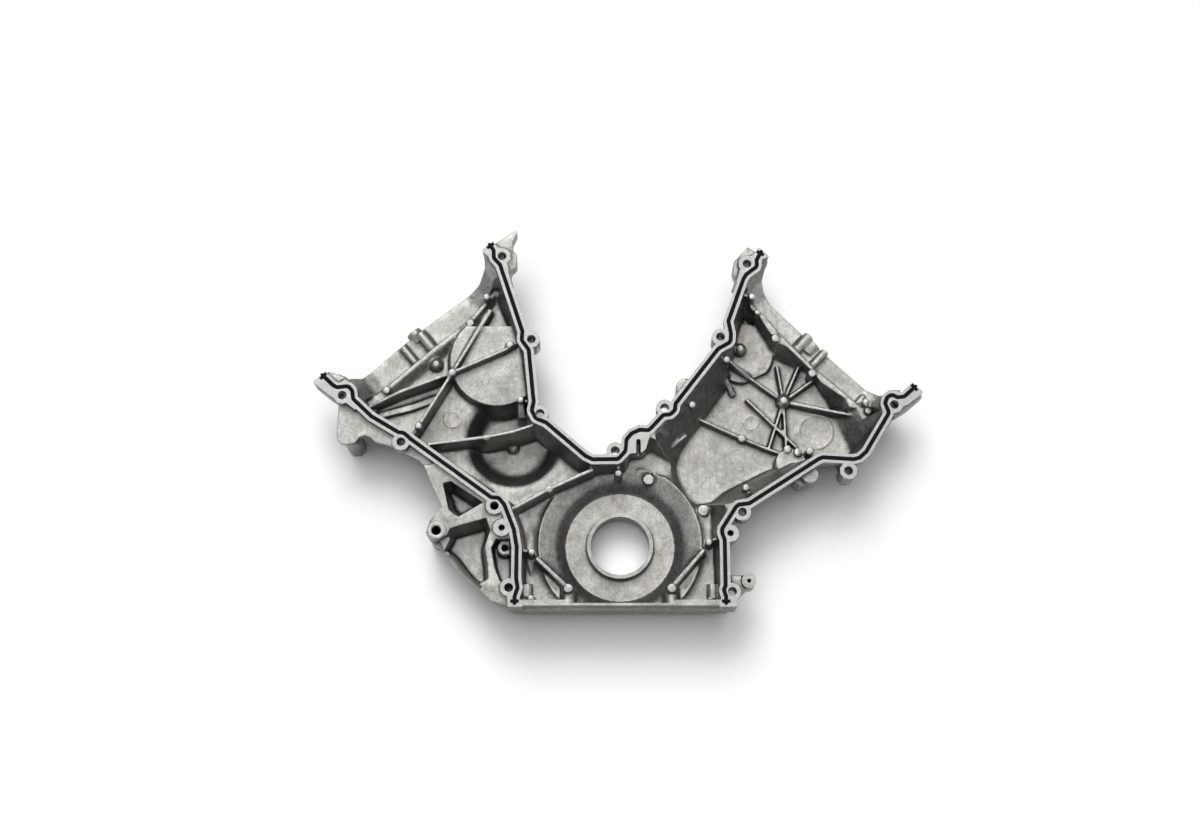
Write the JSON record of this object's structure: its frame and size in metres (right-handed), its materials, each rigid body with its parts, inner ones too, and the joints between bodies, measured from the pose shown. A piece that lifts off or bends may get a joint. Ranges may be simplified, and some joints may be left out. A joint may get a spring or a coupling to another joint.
{
  "type": "timing cover",
  "caption": "Cast aluminium timing cover of a V engine, inner side: deep ribbed arms, bowl with the crank seal bore, open bracket, bolt bosses and rubber seals pressed into the rails",
  "frame": {"origin": "on the crank axis, at the outer face of the crank seal boss", "axes": "+Z along the crank axis toward the engine, square to the sealing face; +Y up, midway between the banks; +X to the right as seen from the engine"},
  "size_m": [0.6738, 0.4254, 0.0808],
  "materials": {
    "cast_aluminium": "as cast, with machined sealing faces and bores",
    "seal_rubber": "matt black moulded rubber"
  },
  "bodies": {
    "root": {"cover_casting": "cast_aluminium", "left_gasket": "seal_rubber", "valley_gasket": "seal_rubber", "right_gasket": "seal_rubber"}
  },
  "joints": []
}
